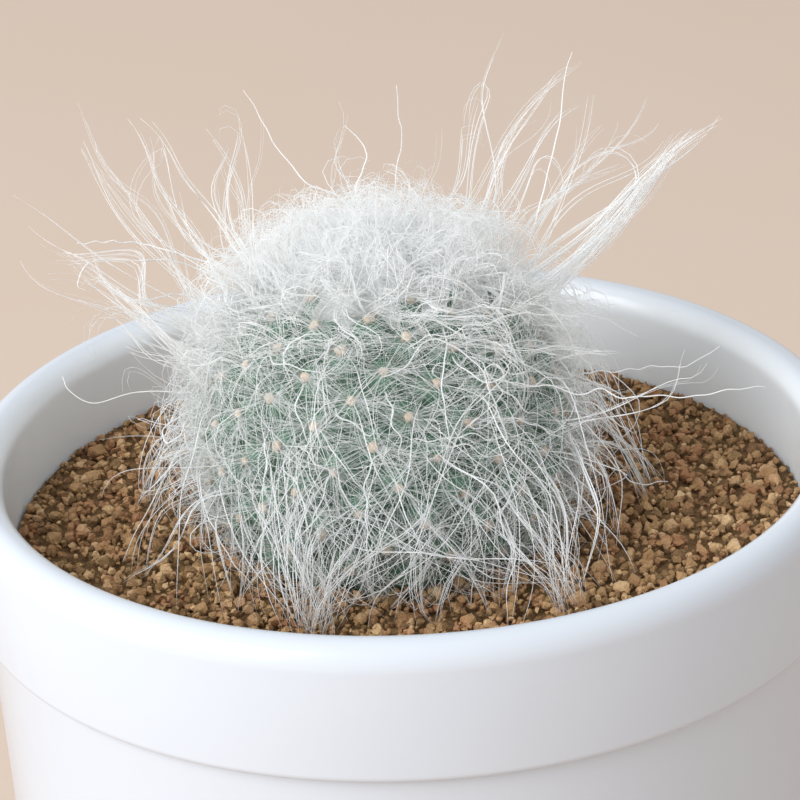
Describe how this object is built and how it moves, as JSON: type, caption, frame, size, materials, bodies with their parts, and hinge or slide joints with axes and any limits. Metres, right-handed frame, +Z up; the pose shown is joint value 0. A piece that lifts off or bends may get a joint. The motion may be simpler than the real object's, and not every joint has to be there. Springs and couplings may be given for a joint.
{
  "type": "potted mammillaria",
  "caption": "Globe cactus with white spines and long white hair, growing in granular soil in a round glazed pot with a banded rim, foot ring and drain hole.",
  "frame": {"origin": "centre of the pot's foot ring, on the surface that it stands on", "axes": "+Z up along the pot's axis; -Y towards the side that the picture shows; +X to its right"},
  "size_m": [0.0894, 0.0894, 0.1184],
  "materials": {
    "white_glaze": "glossy white glaze",
    "green_plastic": "moulded dark green net",
    "pale_gravel": "rough light gravel",
    "brown_soil": "hard baked soil granules of 1 to 1.5 mm",
    "hairy_skin": "grey-green skin under white spines and long silky white hair"
  },
  "bodies": {
    "root": {"pot": "white_glaze", "drain_net": "green_plastic", "drainage_gravel": "pale_gravel", "soil": "brown_soil", "cactus": "hairy_skin"}
  },
  "joints": []
}
